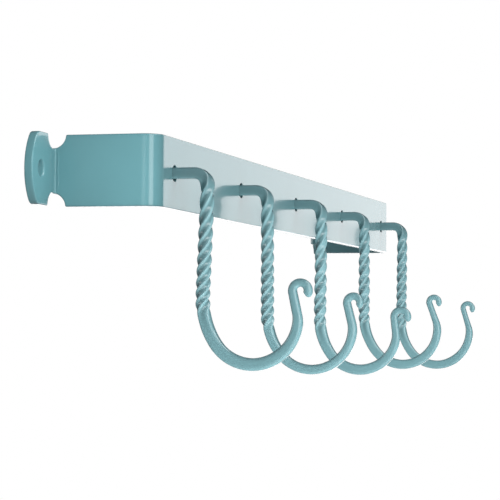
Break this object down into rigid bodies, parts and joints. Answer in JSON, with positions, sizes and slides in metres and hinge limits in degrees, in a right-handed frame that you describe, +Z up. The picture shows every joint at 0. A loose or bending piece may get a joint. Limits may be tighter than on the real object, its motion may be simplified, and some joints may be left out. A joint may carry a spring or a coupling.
{
  "type": "wall hook rail",
  "caption": "Wall-mounted bent flat-bar rail with drilled round-ended tabs and twisted, forged bar hooks with scrolled tips.",
  "frame": {"origin": "midway between the two wall-screw holes, on the wall plane, at mid-height of the rail", "axes": "+X along the rail, +Z up, -Y out from the wall into the room"},
  "size_m": [0.627, 0.1385, 0.1287],
  "materials": {
    "rail_paint": "gloss teal powder coat on bent flat bar",
    "hook_paint": "gloss teal powder coat on hammered, twisted square bar",
    "weld_paint": "gloss teal powder coat over a rippled weld bead"
  },
  "bodies": {
    "root": {"rail": "rail_paint", "hook_1": "hook_paint", "hook_2": "hook_paint", "hook_3": "hook_paint", "hook_4": "hook_paint", "hook_5": "hook_paint", "hook_weld_1": "weld_paint", "hook_weld_2": "weld_paint", "hook_weld_3": "weld_paint", "hook_weld_4": "weld_paint", "hook_weld_5": "weld_paint"}
  },
  "joints": []
}
